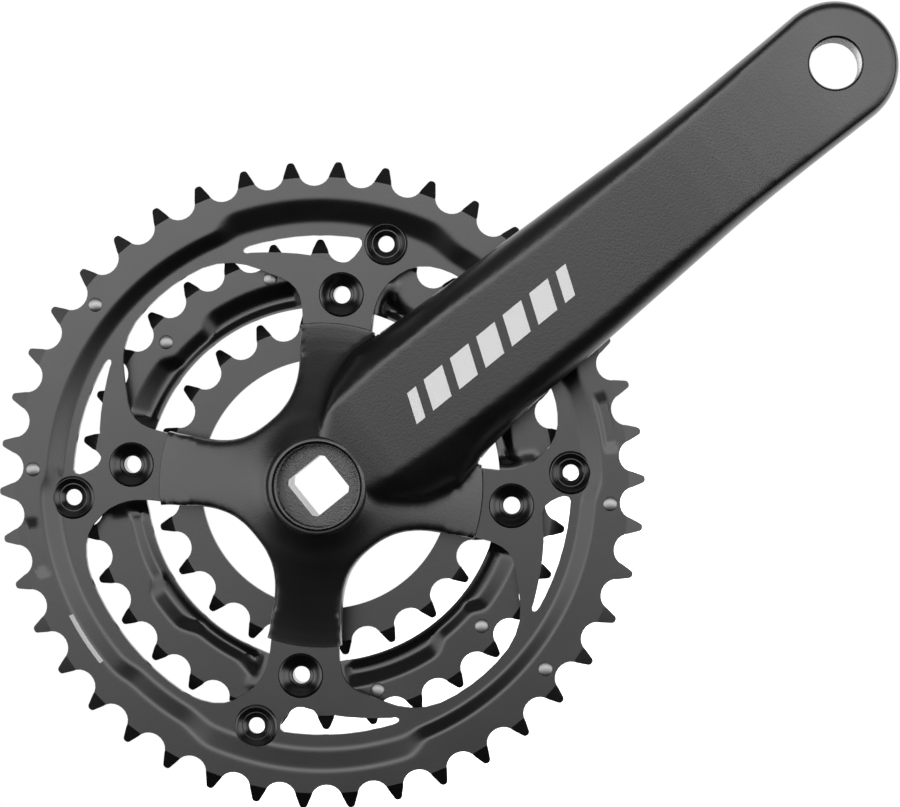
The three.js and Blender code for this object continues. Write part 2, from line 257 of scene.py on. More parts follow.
def smoothstep(low, high, value):
    t = min(1.0, max(0.0, (value - low) / (high - low)))
    return t * t * (3 - 2 * t)


def pressed_step(low, high, value):
    """The wall of a stamping: a straight slope from 0 at low to 1 at high with small fillets at both ends."""
    fillet = 0.2
    t = min(1.0, max(0.0, (value - low) / (high - low)))
    steepness = 1 / (1 - fillet)
    if t < fillet:
        return steepness * t * t / (2 * fillet)
    if t > 1 - fillet:
        return 1 - steepness * (1 - t) ** 2 / (2 * fillet)
    return steepness * (t - fillet / 2)


def pressed_sheet(name, inner, outer, front, press, chamfer_radius, row=0.5, steps=360):
    radii = []
    radius = inner
    while radius < chamfer_radius - row / 2:
        radii.append(radius)
        radius += row
    radii.append(chamfer_radius)
    radii.extend((chamfer_radius + (outer - chamfer_radius) * part) for part in (0.5, 1))

    def thinning(radius, lean):
        return max(0, radius - chamfer_radius) * lean

    section = [(radius, front + thinning(radius, FRONT_CHAMFER)) for radius in radii]
    section += [(radius, front + SHEET - thinning(radius, BACK_CHAMFER)) for radius in reversed(radii)]
    sheet = turned(name, section, steps=steps)
    for vert in sheet.data.vertices:
        x, z = vert.co.x / MM, vert.co.z / MM
        vert.co.y += press(math.hypot(x, z), math.degrees(math.atan2(z, x))) * MM
    print(name, "sheet has", len(sheet.data.polygons), "faces")
    return sheet


def crease(piece, radius, tolerance=0.02):
    """Marks the chamfer's starting circle as a sharp edge."""
    mesh = piece.data
    near = [abs(math.hypot(vert.co.x, vert.co.z) / MM - radius) < tolerance for vert in mesh.vertices]
    for edge in mesh.edges:
        if near[edge.vertices[0]] and near[edge.vertices[1]]:
            edge.use_edge_sharp = True


def ramp(angle, table):
    """A value that follows a table of (angle, value) pairs round the ring, smoothed between them."""
    for (low, first), (high, second) in zip(table, table[1:]):
        if low <= angle <= high:
            return first + (second - first) * smoothstep(low, high, angle)
    return table[-1][1]


# %% [markdown]
# The outer ring's middle is stamped 1.75 mm inwards, and the edge of that stamping isn't a circle: it
# steps in and out to stiffen the ring and to leave room for the shift pins. The ring repeats every half
# turn, so its table covers 180 degrees. A shallow relief on each half helps the chain across.

# %% Outer chainring: stamping
OUTER_EDGE = (
    (-42, 74.6), (-37, 76.5), (2, 76.5), (8, 75.4), (20, 75.4), (28, 78), (69, 78), (74, 74.6), (138, 74.6),
)
RELIEF_DEPTH = 0.35
OUTER_FOOT = ((-42, 71), (2, 71), (8, 69.6), (20, 69.6), (28, 71), (69, 71), (74, 70.4), (138, 70.4))


def press_outer(radius, degrees):
    angle = (degrees + 42) % 180 - 42
    edge = ramp(angle, OUTER_EDGE)
    foot = ramp(angle, OUTER_FOOT)
    depth = OUTER_MOUNT - OUTER_FRONT
    across = pressed_step(77.4, 77.9, radius) - pressed_step(80.6, 81.1, radius)
    relief = RELIEF_DEPTH * across * (smoothstep(-32, -31, angle) - smoothstep(-22, -21, angle))
    return depth * (1 - pressed_step(foot, edge, radius)) + relief


# %% [markdown]
# Four lobes reach in from the rim to the spider. Their edges are drawn over one quarter, and the two mirror
# planes of the ring carry them round. The long slots beside the guard eyelets follow the same rule.

# %% Outer chainring: windows and slots
RIM = 67.7
REGISTER = 44.1
LOBE_ARM_SIDE = ((17, 67.7), (19.5, 67.5), (22, 67.0), (24.6, 66.2), (27, 64.9), (29.2, 63), (31, 60.6),
                 (32.6, 58), (33.6, 55.3), (34.1, 53.2), (34.3, 51.2), (34.2, 49.4), (34, 47.4))
LOBE_FAR_SIDE = ((57.2, 48.2), (57.3, 50), (57.6, 51.8), (58.4, 53.8), (60, 55.8), (62, 57.4), (64.4, 58.9),
                 (67, 60.9), (70, 63.2), (73, 65.1), (76.5, 66.5), (80, 67.3), (84, 67.6))


def four_quarters(quarter):
    points = []
    for start in (0, 180):
        points += [polar(radius, start + angle) for angle, radius in quarter]
        points += [polar(radius, start + 180 - angle) for angle, radius in reversed(quarter)]
    return points


def outer_window():
    rim = [(angle, RIM) for angle in (1, 5, 9, 13)]
    register = [(33.5 + 24 * step / 16, REGISTER) for step in range(17)]
    return four_quarters(rim + list(LOBE_ARM_SIDE) + register + list(LOBE_FAR_SIDE) + [(88, RIM)])


SLOT = ((41.4, 66), (41.8, 64.6), (42.8, 62.6), (44, 61.2), (45.2, 60.6), (46.6, 60.5), (49, 61.1),
        (53, 62.3), (57, 63.2), (61, 64.1), (65, 65.1), (67.8, 65.9), (68.9, 66.1), (69.5, 66.6),
        (69.5, 67.2), (69, 67.6), (68, 67.8), (65, 67.8), (61, 67.8), (57, 67.8), (53, 67.8), (49, 67.8),
        (45, 67.8), (42.4, 67.8), (41.6, 67.2))


def slot(quarter):
    mirrored = quarter % 2 == 1
    start = 180 if quarter > 1 else 0
    return [polar(radius, start + (180 - angle if mirrored else angle)) for angle, radius in SLOT]


print("window", len(outer_window()), "points, slot", len(SLOT), "points")


# %% [markdown]
# Round the eyelets the sheet is drawn up into a small dished boss, and round each ring rivet it is
# countersunk. Both are turned shapes, joined to the punched sheet or cut from it.

# %% Outer chainring: build
BEHIND_OUTER = -5
OUTER_CHAMFER = 83.4
RIVET_HOLE = 4.2
PIN_HOLE = 1.4
EYELET_ANGLES = (36, 144, 216, 324)
EYELET_RADIUS = 67.8
BOLT_RADIUS = 52
OUTER_PINS = [(78.5, angle) for angle in (102.5, 138, 282, 317.5)]
MIDDLE_PINS = [(58.1, angle) for angle in (65.5, 99, 246, 279.5)]


def make_outer_ring():
    outer = OUTER_TIP + BLANK_SPARE
    ring = pressed_sheet("outer_ring", REGISTER - 2, outer, OUTER_FRONT, press_outer, OUTER_CHAMFER)
    teeth = tooth_outline(OUTER_TEETH, OUTER_TIP + TIP_SPARE, OUTER_PHASE)
    punch = plate("punch", [teeth, outer_window()], AHEAD, BEHIND_OUTER)
    boolean(ring, punch, "INTERSECT")
    for angle in EYELET_ANGLES:
        boss = [(3, TAB_FRONT), (3, OUTER_MOUNT - 0.5), (5.3, OUTER_MOUNT - 0.5), (5.5, OUTER_MOUNT - 0.4),
                (6.0, OUTER_MOUNT + 0.1), (6.0, TAB_FRONT)]
        boolean(ring, turned("boss", boss, polar(EYELET_RADIUS, angle)), "UNION")
    for quarter in range(4):
        boolean(ring, plate("slot", [slot(quarter)], AHEAD, BEHIND_OUTER), "DIFFERENCE")
    for angle in EYELET_ANGLES:
        dish = [(0, AHEAD), (5.3, AHEAD), (5.3, OUTER_MOUNT - 0.6), (5.1, OUTER_MOUNT - 0.35),
                (3.9, OUTER_MOUNT + 0.5), (3.9, BEHIND_OUTER), (0, BEHIND_OUTER)]
        boolean(ring, turned("dish", dish, polar(EYELET_RADIUS, angle), on_axis=True), "DIFFERENCE")
    for angle in SPIDER_ANGLES:
        funnel = [(0, AHEAD), (6.1, AHEAD), (6.1, OUTER_MOUNT + 0.5), (RIVET_HOLE, TAB_FRONT - 0.3),
                  (RIVET_HOLE, BEHIND_OUTER), (0, BEHIND_OUTER)]
        boolean(ring, turned("funnel", funnel, polar(BOLT_RADIUS, angle), on_axis=True), "DIFFERENCE")
    for radius, angle in OUTER_PINS:
        hole = circle(polar(radius, angle), PIN_HOLE, 24)
        boolean(ring, plate("hole", [hole], AHEAD, BEHIND_OUTER), "DIFFERENCE")
    smooth_shade(ring)
    crease(ring, OUTER_CHAMFER)
    print("outer ring faces", len(ring.data.polygons))
    return ring


outer_ring = make_outer_ring()


# %% [markdown]
# The middle ring has a round bore that clears the spider, and four tabs hold it behind the outer ring's
# lobes. There its sheet comes forward to meet them. Between the tabs it is stamped into a channel with a
# stepped outer edge, and the sheet rises again at the bore to end in a lip.

# %% Middle chainring
MIDDLE_EDGE = (
    (-34, 56.6), (-28, 53.6), (-10, 53.8), (-5, 56.6), (4, 56.6), (12, 54), (24, 54), (32, 56.6), (84, 56.6),
    (90, 54), (100, 54), (105, 56.6), (146, 56.6),
)
MIDDLE_BORE = 48.5
MIDDLE_CHAMFER = 63.2
BEHIND_MIDDLE = 5
CHANNEL_DEPTH = 1.9
LIP_RISE = 1.1


def press_middle(radius, degrees):
    angle = (degrees + 34) % 180 - 34
    edge = ramp(angle, MIDDLE_EDGE)
    channel = CHANNEL_DEPTH * (1 - pressed_step(edge - 4.6, edge, radius))
    channel -= LIP_RISE * (1 - pressed_step(49.1, 51, radius))
    mount = (MIDDLE_MOUNT - MIDDLE_FRONT) * (1 - pressed_step(57.5, 60, radius))
    from_tab = abs(degrees % 90 - 45)
    return mount + (channel - mount) * smoothstep(11.2, 15.5, from_tab)


def make_middle_ring():
    outer = MIDDLE_TIP + BLANK_SPARE
    ring = pressed_sheet("middle_ring", MIDDLE_BORE - 2, outer, MIDDLE_FRONT, press_middle, MIDDLE_CHAMFER)
    teeth = tooth_outline(MIDDLE_TEETH, MIDDLE_TIP + TIP_SPARE, MIDDLE_PHASE)
    punch = plate("punch", [teeth, circle((0, 0), MIDDLE_BORE, 180)], AHEAD, BEHIND_MIDDLE)
    boolean(ring, punch, "INTERSECT")
    for angle in SPIDER_ANGLES:
        hole = circle(polar(BOLT_RADIUS, angle), RIVET_HOLE, 40)
        boolean(ring, plate("hole", [hole], AHEAD, BEHIND_MIDDLE), "DIFFERENCE")
    for radius, angle in MIDDLE_PINS:
        hole = circle(polar(radius, angle), PIN_HOLE, 24)
        boolean(ring, plate("hole", [hole], AHEAD, BEHIND_MIDDLE), "DIFFERENCE")
    smooth_shade(ring)
    crease(ring, MIDDLE_CHAMFER)
    print("middle ring faces", len(ring.data.polygons))
    return ring


middle_ring = make_middle_ring()


# %% [markdown]
# The inner ring is flat. Four ears reach in from its bore to the posts on the spider's back.

# %% Inner chainring
INNER_BOLT_RADIUS = 32
INNER_BORE = 34.5
INNER_CHAMFER = 43.6
EAR = 7
POST_HOLE = 3
BEHIND_INNER = 15


def no_press(radius, degrees):
    return 0


def make_inner_ring():
    outer = INNER_TIP + BLANK_SPARE
    ring = pressed_sheet("inner_ring", 20, outer, INNER_FRONT, no_press, INNER_CHAMFER, row=4, steps=240)
    teeth = tooth_outline(INNER_TEETH, INNER_TIP + TIP_SPARE, INNER_PHASE)
    punch = plate("punch", [teeth, circle((0, 0), INNER_BORE, 160)], AHEAD, BEHIND_INNER)
    boolean(ring, punch, "INTERSECT")
    for angle in SPIDER_ANGLES:
        ear = circle(polar(INNER_BOLT_RADIUS, angle), EAR, 64)
        boolean(ring, plate("ear", [ear], INNER_FRONT, INNER_FRONT + SHEET), "UNION")
    for angle in SPIDER_ANGLES:
        hole = circle(polar(INNER_BOLT_RADIUS, angle), POST_HOLE, 32)
        boolean(ring, plate("hole", [hole], AHEAD, BEHIND_INNER), "DIFFERENCE")
    smooth_shade(ring)
    crease(ring, INNER_CHAMFER)
    print("inner ring faces", len(ring.data.polygons))
    return ring


inner_ring = make_inner_ring()


# %% [markdown]
# The crank arm is forged: no edge is sharp and every corner is filled. Its parts are joined as plain
# solids, skinned again with a fine voxel remesh, which loses the seams between them, and then smoothed,
# most where the arm, the hub and the spider meet. What a cutter makes afterwards, such as the bores, is cut
# after the smoothing, so it stays crisp.

# %% Crank arm: the arm as sections
def line(x, table):
    """A value at x on the straight lines between the points of a table."""
    for (low, first), (high, second) in zip(table, table[1:]):
        if x <= high:
            return first + (second - first) * max(0, x - low) / (high - low)
    return table[-1][1]


ROOT_Y = ((9, -29.8), (12, -30.4), (15, -31.1), (19, -31.9))
BEND_START = 120
FACE_TOP = ((9, 9), (12, 12.4), (16, 14.2), (36, 14.8), (55, 14.6), (75, 13.3), (95, 12.6), (120, 12.6),
            (140, 13.2), (150, 13.6), (162, 14.4), (170, 14.9), (175, 15.2))
FACE_BOTTOM = ((9, -8), (11, -9.8), (20, -10.8), (35, -12.2), (50, -12.9), (80, -13.7), (110, -13.6),
               (140, -14.1), (160, -14.7), (175, -15.2))
SIDE_TOP = ((9, 13), (20, 20), (30, 22.5), (42, 21.6), (60, 20), (80, 19.2), (90, 18.6), (100, 18.1),
            (110, 17.55), (120, 17), (130, 16.6), (140, 16.35), (156, 16.35), (166, 16.5), (175, 16.7))
SIDE_BOTTOM = ((9, -15), (20, -21.5), (30, -23.5), (42, -21), (60, -19.1), (80, -18.7), (90, -18.3),
               (100, -17.85), (110, -17.4), (120, -16.95), (130, -16.5), (140, -16.3), (156, -16.45),
               (166, -16.6), (175, -16.7))
EYE_PARTING = -45.2
PARTING_Y = ((9, -19), (45, -21), (60, -29), (90, -35.5), (157, -45), (175, EYE_PARTING))
BACK_Y = ((9, -12), (42, -12), (48, -15.5), (58, -24.5), (90, -28.5), (157, EYE_BACK), (175, EYE_BACK))
SHOULDER_STEPS = 8
SHOULDER_START = 28
BACK_ROUND = 2.5
ARM_STATIONS = (9, 10, 11, 12, 13, 14.5, 16, 20, 25, 30, 36, 42, 45, 48, 53, 58, 64, 72, 80, 90, 100, 110,
                120, 128, 136, 144, 150, 155, 160, 164, 168, 172, CRANK_LENGTH)
EYE_REACH = EYE_RADIUS + 0.2
EYE_RIM = EYE_REACH - 1.5


def shoulder():
    """The shoulder's curve from the face's crisp edge round to the parting line, both ways from 0 to 1."""
    start = math.radians(SHOULDER_START)
    turns = [start + (math.pi / 2 - start) * step / SHOULDER_STEPS for step in range(SHOULDER_STEPS + 1)]
    low = math.sin(start)
    return [((math.sin(turn) - low) / (1 - low), 1 - math.cos(turn) / math.cos(start)) for turn in turns]


def face_y(x):
    """The front face runs straight out from its root, then bends until it lies flat at the pedal's axle."""
    root_x, root_y = ROOT_Y[-1]
    if x < root_x:
        return line(x, ROOT_Y)
    bend_length = CRANK_LENGTH - BEND_START
    slope = (root_y - EYE_FRONT) / (BEND_START - root_x + bend_length / 2)
    bent = max(0, x - BEND_START)
    return root_y - slope * (min(x, BEND_START) - root_x + bent - bent ** 2 / (2 * bend_length))


def section_points(x):
    """One section of the arm, as (z, y) pairs, round from the top of the front face."""
    face, back, parting = face_y(x), line(x, BACK_Y), line(x, PARTING_Y)
    top, bottom = line(x, SIDE_TOP), line(x, SIDE_BOTTOM)
    face_top, face_bottom = line(x, FACE_TOP), line(x, FACE_BOTTOM)

    def shoulder_point(edge, side, out, back_off):
        return edge + (side - edge) * out, face + (parting - face) * back_off

    def back_corner(side, turn):
        lean = math.radians(turn)
        return side * (0.97 - 0.1 * (1 - math.cos(lean))), back - BACK_ROUND * (1 - math.sin(lean))

    points = [shoulder_point(face_top, top, *step) for step in shoulder()]
    points += [back_corner(top, turn) for turn in (0, 45, 90)]
    points += [back_corner(bottom, turn) for turn in (90, 45, 0)]
    points += [shoulder_point(face_bottom, bottom, *step) for step in reversed(shoulder())]
    return points


def make_arm_body():
    """The arm from its root to the pedal's axle, bridged section by section."""
    bm = bmesh.new()
    loops = []
    for x in ARM_STATIONS:
        verts = [bm.verts.new((x * MM, y * MM, z * MM)) for z, y in section_points(x)]
        loops.append([bm.edges.new(pair) for pair in zip(verts, verts[1:] + verts[:1])])
    for first, second in zip(loops, loops[1:]):
        bmesh.ops.bridge_loops(bm, edges=first + second)
    for loop in (loops[0], loops[-1]):
        bmesh.ops.contextual_create(bm, geom=loop)
    bmesh.ops.recalc_face_normals(bm, faces=bm.faces)
    mesh = bpy.data.meshes.new("arm_body")
    bm.to_mesh(mesh)
    bm.free()
    print("arm body faces", len(mesh.polygons))
    return new_object("arm_body", mesh)


def make_eye():
    """The round end of the arm, turned about the pedal axle's line."""
    profile = [(0, EYE_FRONT)]
    profile += [(EYE_RIM + (EYE_REACH - EYE_RIM) * out, EYE_FRONT + (EYE_PARTING - EYE_FRONT) * back_off)
                for out, back_off in shoulder()]
    profile += [(EYE_REACH * 0.97, EYE_BACK - BACK_ROUND), (EYE_REACH * 0.94, EYE_BACK - 0.75),
                (EYE_REACH * 0.87, EYE_BACK), (0, EYE_BACK)]
    eye = turned("eye", profile, (CRANK_LENGTH, 0), steps=96, on_axis=True)
    near, far, across = CRANK_LENGTH - 0.05, CRANK_LENGTH + 20, 20
    half = [(near, -across), (far, -across), (far, across), (near, across)]
    return boolean(eye, plate("half", [half], EYE_FRONT - 5, EYE_BACK + 5), "INTERSECT")


# %% [markdown]
# The spider's outline has three deep round windows and two small ones beside the arm. Its front surface is
# a crown, turned about the spindle, that falls away from the hub to the step where the outer ring sits.

# %% Crank arm: spider and hub
SPIDER_FRONT = OUTER_MOUNT - 1.25
TAB_BACK = MIDDLE_MOUNT
SPIDER_SIDE = ((58.5, 41.7), (59.2, 39), (60, 36.3), (60.7, 34), (61.8, 31.6), (63.4, 29.4), (65.4, 27.5),
               (68, 25.8), (71.5, 24.3), (76, 23.1), (81, 22.3), (86.5, 21.9))


def spider_outline():
    side = list(SPIDER_SIDE)
    arm_side = [(90 - angle, radius) for angle, radius in reversed(side)]
    past_register = [(32 + 26 * step / 16, REGISTER + 3) for step in range(17)]
    return four_quarters(arm_side + past_register + side)


def make_forging():
    crown = [(0, HUB_FRONT + 2.4), (15.6, HUB_FRONT + 2.4), (17.6, HUB_FRONT + 3.6), (20, SPIDER_FRONT - 7.6),
             (24, SPIDER_FRONT - 6), (30, SPIDER_FRONT - 3.9), (36, SPIDER_FRONT - 2),
             (40, SPIDER_FRONT - 0.9), (44, SPIDER_FRONT), (50, SPIDER_FRONT), (50, TAB_BACK), (0, TAB_BACK)]
    forging = plate("forging", [spider_outline()], HUB_FRONT, TAB_BACK)
    boolean(forging, turned("crown", crown, steps=96, on_axis=True), "INTERSECT")
    hub = [(0, HUB_FRONT + 0.8), (13.5, HUB_FRONT + 0.8), (15.2, HUB_FRONT + 2.4), (16.6, HUB_FRONT + 4),
           (20.6, SPIDER_FRONT - 5.4), (20.6, TAB_BACK - 1), (19, -7.5), (18.4, -2), (0, -2)]
    boolean(forging, turned("hub", hub, steps=96, on_axis=True), "UNION")
    boolean(forging, make_arm_body(), "UNION")
    boolean(forging, make_eye(), "UNION")
    return forging


VOXEL = 0.7
ROOT_REACH = 36
SKIN_PASSES = 2
ROOT_PASSES = 12


def skin(piece):
    remesh = piece.modifiers.new("skin", "REMESH")
    remesh.mode = "VOXEL"
    remesh.voxel_size = VOXEL * MM
    apply_modifiers(piece)


def in_root(place):
    """The hollows where the hub, the arm and the spider meet, between the hub's face and the spider's."""
    near_hub = math.hypot(place.x, place.z) < ROOT_REACH
    return near_hub and HUB_FRONT - 0.6 < place.y < SPIDER_FRONT - 0.8


def smooth_all(bm, verts, passes):
    """Moves every vertex halfway to the middle of its neighbours, a few times over."""
    for turn in range(passes):
        bmesh.ops.smooth_vert(bm, verts=verts, factor=0.5, use_axis_x=True, use_axis_y=True, use_axis_z=True)


def blend_forging(piece):
    """Smooths the whole skin a little, and the root of the arm a lot."""
    bm = bmesh.new()
    bm.from_mesh(piece.data)
    smooth_all(bm, bm.verts, SKIN_PASSES)
    root = [vert for vert in bm.verts if in_root(vert.co / MM)]
    smooth_all(bm, root, ROOT_PASSES)
    bm.to_mesh(piece.data)
    bm.free()


forging = make_forging()
skin(forging)
blend_forging(forging)
print("forging faces", len(forging.data.polygons))


# %% [markdown]
# The machined features come next: the collar round the extractor thread, the thread itself, the square
# taper, the pedal hole, the step that centres the outer ring, and the tabs and posts for the rings. The
# threads are rings of grooves at the real pitch, which look the same as a helix at this scale.

# %% Crank arm: machining
EXTRACTOR_PITCH = 1.0
PEDAL_PITCH = 1.27
TAPER_FRONT_HALF, TAPER_BACK_HALF = 6.3, 7.05
TAB_HALF, TAB_INSIDE = 9.2, 40.5


def threaded_profile(radius, depth, pitch, front, back):
    """Crest and root points of a thread from front to back, as (radius, y)."""
    points = []
    for turn in range(int((back - front) / pitch)):
        y = front + turn * pitch
        points += [(radius, y), (radius, y + 0.25 * pitch), (radius + depth, y + 0.5 * pitch)]
        points += [(radius + depth, y + 0.75 * pitch)]
    return points


def bore_cutter():
    profile = [(0, HUB_FRONT - 6), (12.1, HUB_FRONT - 6), (12.1, HUB_FRONT), (11.5, HUB_FRONT + 0.9)]
    profile += threaded_profile(11.05, 0.45, EXTRACTOR_PITCH, HUB_FRONT + 1, THREAD_FLOOR - 1.2)
    profile += [(11.3, THREAD_FLOOR - 1), (11.3, THREAD_FLOOR - 0.3), (11, THREAD_FLOOR), (0, THREAD_FLOOR)]
    return turned("bore", profile, steps=96, on_axis=True)


def taper_cutter():
    """A square taper: a four-sided cone cut down by a round one."""
    length = 2 - THREAD_FLOOR
    bm = bmesh.new()
    corner = math.sqrt(2) * MM
    lie_down = Matrix.Rotation(math.radians(-90), 4, "X") @ Matrix.Rotation(math.radians(45), 4, "Z")
    bmesh.ops.create_cone(
        bm, cap_ends=True, segments=4, radius1=TAPER_FRONT_HALF * corner, radius2=TAPER_BACK_HALF * corner,
        depth=length * MM, matrix=lie_down,
    )
    bmesh.ops.translate(bm, verts=bm.verts, vec=(0, (THREAD_FLOOR - 0.5 + length / 2) * MM, 0))
    bmesh.ops.recalc_face_normals(bm, faces=bm.faces)
    mesh = bpy.data.meshes.new("taper")
    bm.to_mesh(mesh)
    bm.free()
    corners = [(0, THREAD_FLOOR - 3), (8.1, THREAD_FLOOR - 3), (8.9, 3), (0, 3)]
    return boolean(new_object("taper", mesh), turned("corners", corners, on_axis=True), "INTERSECT")


def tab(angle):
    """The round-ended tab under the rings at the end of one spider arm."""
    end = [(BOLT_RADIUS - 3 + x, z) for x, z in (polar(TAB_HALF, -90 + 180 * step / 24) for step in range(25))]
    turn = Matrix.Rotation(math.radians(angle), 2)
    return [tuple(turn @ Vector(point)) for point in [(TAB_INSIDE, -TAB_HALF), *end, (TAB_INSIDE, TAB_HALF)]]


def register_cut(angle):
    """What the lathe takes off past one spider arm's end, out to clear air."""
    inner = [polar(REGISTER - 0.25, angle - 16 + 32 * step / 32) for step in range(33)]
    return inner + [polar(54, angle + 14), polar(54, angle - 14)]


def machine(piece):
    collar = [(10, HUB_FRONT + 6), (10, HUB_FRONT), (12.75, HUB_FRONT), (13, HUB_FRONT + 0.15),
              (13.3, HUB_FRONT + 0.8), (14.2, HUB_FRONT + 1.7), (14.6, HUB_FRONT + 3), (14.6, HUB_FRONT + 6)]
    boolean(piece, turned("collar", collar, steps=96), "UNION")
    inner_face = [(0, 0), (17.2, 0), (18, -0.8), (18.4, -5), (19.4, -9), (0, -9)]
    boolean(piece, turned("inner_face", inner_face, steps=96, on_axis=True), "UNION")
    for angle in SPIDER_ANGLES:
        boolean(piece, plate("register", [register_cut(angle)], AHEAD, BEHIND_OUTER), "DIFFERENCE")
        boolean(piece, plate("tab", [tab(angle)], TAB_FRONT, TAB_BACK), "UNION")
        post = [(0, TAB_BACK - 1), (5.6, TAB_BACK - 1), (5.2, TAB_BACK + 1), (5, INNER_FRONT - 0.3),
                (4.7, INNER_FRONT), (0, INNER_FRONT)]
        boolean(piece, turned("post", post, polar(INNER_BOLT_RADIUS, angle), on_axis=True), "UNION")
        rivet_hole = circle(polar(BOLT_RADIUS, angle), RIVET_HOLE, 40)
        boolean(piece, plate("hole", [rivet_hole], AHEAD, 0), "DIFFERENCE")
        post_hole = circle(polar(INNER_BOLT_RADIUS, angle), POST_HOLE, 32)
        boolean(piece, plate("hole", [post_hole], -9, 2), "DIFFERENCE")
    boolean(piece, bore_cutter(), "DIFFERENCE")
    boolean(piece, taper_cutter(), "DIFFERENCE")
    pedal = [(0, EYE_FRONT - 5), (7.2, EYE_FRONT - 5), (7.2, EYE_FRONT + 0.1), (6.75, EYE_FRONT + 0.6)]
    pedal += threaded_profile(6.55, 0.5, PEDAL_PITCH, EYE_FRONT + 0.7, EYE_BACK - 0.7)
    pedal += [(7.1, EYE_BACK - 0.5), (7.6, EYE_BACK + 0.1), (7.6, EYE_BACK + 5), (0, EYE_BACK + 5)]
    boolean(piece, turned("pedal", pedal, (CRANK_LENGTH, 0), steps=80, on_axis=True), "DIFFERENCE")


machine(forging)
smooth_shade(forging, 35)
forging.name = "crank_arm_forging"
print("crank arm faces", len(forging.data.polygons))


# %% [markdown]
# The ring rivets are tubes: a funnel pressed into the outer ring's countersink, a shank through the
# spider tab, and a rolled rim behind the middle ring. The guard eyelets are threaded bushes with a flange
# behind the outer ring. All of them are turned shapes.

# %% Rivets, eyelets and pins
def make_ring_rivet(angle):
    back = MIDDLE_MOUNT + SHEET
    profile = [(2.4, back + 0.9), (2.35, OUTER_MOUNT + 2.4), (2.6, OUTER_MOUNT + 2.05),
               (3.0, OUTER_MOUNT + 1.95), (3.3, OUTER_MOUNT + 1.7), (3.42, OUTER_MOUNT + 1.25),
               (3.7, OUTER_MOUNT + 1.1), (4.6, OUTER_MOUNT + 0.45), (5.35, OUTER_MOUNT - 0.3),
               (5.6, OUTER_MOUNT - 0.42), (5.85, OUTER_MOUNT - 0.3), (5.9, OUTER_MOUNT),
               (5.9, OUTER_MOUNT + 0.3), (3.9, TAB_FRONT - 0.3), (3.9, back + 0.02), (4.75, back + 0.02),
               (4.8, back + 0.4), (4.4, back + 0.85), (3.4, back + 1.1), (2.6, back + 1.05)]
    return turned("rivet", profile, polar(BOLT_RADIUS, angle))


def make_eyelet(angle):
    profile = [(2.2, TAB_FRONT + 1.1), (2.2, OUTER_MOUNT + 1.75), (2.4, OUTER_MOUNT + 1.5),
               (3.6, OUTER_MOUNT + 0.6), (3.8, OUTER_MOUNT + 0.6), (3.8, TAB_FRONT + 0.02),
               (5.1, TAB_FRONT + 0.02), (5.2, TAB_FRONT + 0.2), (5.2, TAB_FRONT + 1), (5, TAB_FRONT + 1.2),
               (2.5, TAB_FRONT + 1.2)]
    return turned("eyelet", profile, polar(EYELET_RADIUS, angle), steps=48)


PIN_HEAD = 1.95


def make_pin(radius, angle, front):
    back = front + SHEET + 0.02
    dome = [(PIN_HEAD * math.sin(math.radians(turn)), front - 0.65 * math.cos(math.radians(turn)))
            for turn in range(0, 91, 10)]
    profile = dome + [(1.35, front + 0.02), (1.35, back), (2.6, back), (2.65, back + 0.3), (2.2, back + 2.2),
                      (1.9, back + 2.5), (0, back + 2.6)]
    return turned("pin", profile, polar(radius, angle), steps=32, on_axis=True)


def make_inner_rivet(angle):
    back = INNER_FRONT + SHEET + 0.02
    profile = [(0, INNER_FRONT - 5.6), (2.8, INNER_FRONT - 5.6), (2.8, back), (4.6, back), (4.65, back + 0.4),
               (4.3, back + 1.1), (3.3, back + 1.7), (1.6, back + 2), (0, back + 2)]
    return turned("inner_rivet", profile, polar(INNER_BOLT_RADIUS, angle), steps=40, on_axis=True)


rivets, eyelets, pins = [], [], []
for number, angle in enumerate(SPIDER_ANGLES, 1):
    rivets.append((make_ring_rivet(angle), f"ring_rivet_{number}"))
    rivets.append((make_inner_rivet(angle), f"inner_ring_rivet_{number}"))
for number, angle in enumerate(EYELET_ANGLES, 1):
    eyelets.append((make_eyelet(angle), f"guard_eyelet_{number}"))
for number, (radius, angle) in enumerate(OUTER_PINS, 1):
    pins.append((make_pin(radius, angle, OUTER_FRONT), f"outer_shift_pin_{number}"))
for number, (radius, angle) in enumerate(MIDDLE_PINS, 1):
    pins.append((make_pin(radius, angle, MIDDLE_FRONT), f"middle_shift_pin_{number}"))
for piece, node in rivets + eyelets + pins:
    piece.name = node.replace("_", "-")
    smooth_shade(piece, 32)
print(len(rivets), "rivets,", len(eyelets), "eyelets,", len(pins), "pins")


# %% [markdown]
# Every finish here is a thin black coat or bare metal. The effects that they share are node groups: a fine
# grain that roughens the coat, and handling marks that rub its colour lighter in places. Object coordinates
# are in metres, so a noise scale of 1000 repeats about every millimetre.

# %% Shared effects
def new_group(name, inputs, outputs):
    group = bpy.data.node_groups.new(name, "ShaderNodeTree")
    for label, value in inputs:
        socket = group.interface.new_socket(name=label, in_out="INPUT", socket_type="NodeSocketFloat")
        socket.default_value = value
    for label in outputs:
        group.interface.new_socket(name=label, in_out="OUTPUT", socket_type="NodeSocketFloat")
    return group, group.nodes.new("NodeGroupInput"), group.nodes.new("NodeGroupOutput")


